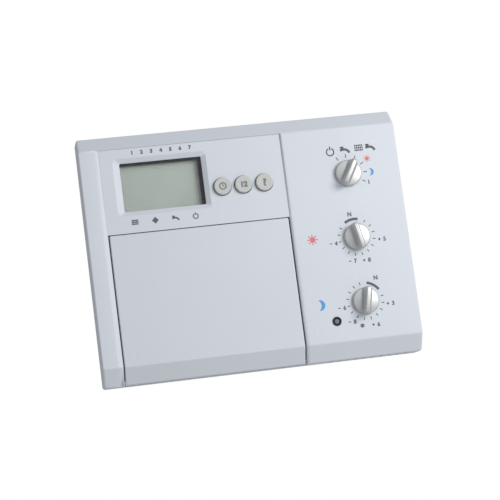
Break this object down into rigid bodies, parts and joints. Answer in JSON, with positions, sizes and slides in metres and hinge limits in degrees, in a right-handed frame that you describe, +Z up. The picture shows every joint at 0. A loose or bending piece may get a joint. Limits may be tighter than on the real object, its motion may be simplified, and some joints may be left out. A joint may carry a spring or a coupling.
{
  "type": "wall thermostat",
  "caption": "Wall-mounted room thermostat with a clock display, round push buttons, selector knobs with printed dials and a drop-down flap over a key bay.",
  "frame": {"origin": "middle of the wall base's back face, which lies on the wall", "axes": "+X right and +Z up as seen from the room, +Y into the wall; the front faces -Y"},
  "size_m": [0.15, 0.0311, 0.1156],
  "materials": {
    "cover_abs": "light grey moulded ABS, fine satin texture",
    "flap_abs": "light grey moulded ABS, fine satin texture",
    "base_abs": "light grey moulded ABS",
    "bay_abs": "mid grey moulded ABS",
    "button_abs": "warm grey moulded plastic",
    "key_abs": "dark grey moulded plastic",
    "satin_silver": "plastic with a satin silver lacquer",
    "clear_acrylic": "clear polished acrylic",
    "display_glass": "liquid crystal glass with a grey-green rear reflector",
    "black_rubber": "black foam rubber",
    "silicone_rubber": "grey silicone rubber",
    "black_plastic": "black moulded plastic",
    "smoked_acrylic": "smoked acrylic",
    "nylon": "natural nylon",
    "terminal_plastic": "grey polyamide",
    "board_laminate": "green solder mask over glass fibre laminate",
    "steel": "zinc-plated steel",
    "brass": "nickel-free turned brass"
  },
  "bodies": {
    "casing": {"wall_base": "base_abs", "terminal_block": "terminal_plastic", "terminal_screw_1": "brass", "terminal_screw_2": "brass", "terminal_screw_3": "brass", "terminal_screw_4": "brass", "base_socket": "nylon", "front_cover": "cover_abs", "key_bay": "bay_abs", "bay_key_mat": "silicone_rubber", "display_lens": "clear_acrylic", "display_gasket": "black_rubber", "display_cell": "display_glass", "display_holder": "nylon", "contact_strip_upper": "silicone_rubber", "contact_strip_lower": "silicone_rubber", "button_mat": "silicone_rubber", "selector_housing_1": "black_plastic", "selector_housing_2": "black_plastic", "selector_housing_3": "black_plastic", "lamp_bezel": "black_plastic", "light_pipe": "smoked_acrylic", "lamp": "nylon", "circuit_board": "board_laminate", "board_screw_1": "steel", "board_screw_2": "steel", "board_screw_3": "steel", "board_screw_4": "steel", "board_header": "black_plastic", "controller_chip": "black_plastic", "quartz_can": "steel", "reserve_capacitor": "black_plastic", "room_sensor": "black_plastic"},
    "flap": {"flap": "flap_abs"},
    "selector_1": {"knob_1": "satin_silver", "selector_shaft_1": "nylon"},
    "selector_2": {"knob_2": "satin_silver", "selector_shaft_2": "nylon"},
    "selector_3": {"knob_3": "satin_silver", "selector_shaft_3": "nylon"},
    "button_1": {"button_1": "button_abs"},
    "button_2": {"button_2": "button_abs"},
    "button_3": {"button_3": "button_abs"},
    "bay_key_1": {"bay_key_1": "key_abs"},
    "bay_key_2": {"bay_key_2": "key_abs"},
    "bay_key_3": {"bay_key_3": "key_abs"},
    "bay_key_4": {"bay_key_4": "key_abs"},
    "bay_key_5": {"bay_key_5": "key_abs"},
    "bay_key_6": {"bay_key_6": "key_abs"}
  },
  "joints": [
    {"name": "flap_hinge", "type": "hinge", "parent": "casing", "child": "flap", "pos_m": [-0.02295, -0.01659, -0.0561], "axis": [1, 0, 0], "range_deg": [0, 105]},
    {"name": "selector_1_turn", "type": "hinge", "parent": "casing", "child": "selector_1", "pos_m": [0.0498, -0.024, 0.02865], "axis": [0, 1, 0], "range_deg": [-60, 90]},
    {"name": "selector_2_turn", "type": "hinge", "parent": "casing", "child": "selector_2", "pos_m": [0.0498, -0.024, -0.0017], "axis": [0, 1, 0], "range_deg": [-157.5, 180]},
    {"name": "selector_3_turn", "type": "hinge", "parent": "casing", "child": "selector_3", "pos_m": [0.0498, -0.024, -0.03205], "axis": [0, 1, 0], "range_deg": [-180, 157.5]},
    {"name": "button_1_press", "type": "slide", "parent": "casing", "child": "button_1", "axis": [0, 1, 0], "range_m": [0, 0.001], "stiffness_N_per_m": 400, "springref_m": -0.0002},
    {"name": "button_2_press", "type": "slide", "parent": "casing", "child": "button_2", "axis": [0, 1, 0], "range_m": [0, 0.001], "stiffness_N_per_m": 400, "springref_m": -0.0002},
    {"name": "button_3_press", "type": "slide", "parent": "casing", "child": "button_3", "axis": [0, 1, 0], "range_m": [0, 0.001], "stiffness_N_per_m": 400, "springref_m": -0.0002},
    {"name": "bay_key_1_press", "type": "slide", "parent": "casing", "child": "bay_key_1", "axis": [0, 1, 0], "range_m": [0, 0.0008], "stiffness_N_per_m": 400, "springref_m": -0.0002},
    {"name": "bay_key_2_press", "type": "slide", "parent": "casing", "child": "bay_key_2", "axis": [0, 1, 0], "range_m": [0, 0.0008], "stiffness_N_per_m": 400, "springref_m": -0.0002},
    {"name": "bay_key_3_press", "type": "slide", "parent": "casing", "child": "bay_key_3", "axis": [0, 1, 0], "range_m": [0, 0.0008], "stiffness_N_per_m": 400, "springref_m": -0.0002},
    {"name": "bay_key_4_press", "type": "slide", "parent": "casing", "child": "bay_key_4", "axis": [0, 1, 0], "range_m": [0, 0.0008], "stiffness_N_per_m": 400, "springref_m": -0.0002},
    {"name": "bay_key_5_press", "type": "slide", "parent": "casing", "child": "bay_key_5", "axis": [0, 1, 0], "range_m": [0, 0.0008], "stiffness_N_per_m": 400, "springref_m": -0.0002},
    {"name": "bay_key_6_press", "type": "slide", "parent": "casing", "child": "bay_key_6", "axis": [0, 1, 0], "range_m": [0, 0.0008], "stiffness_N_per_m": 400, "springref_m": -0.0002}
  ]
}
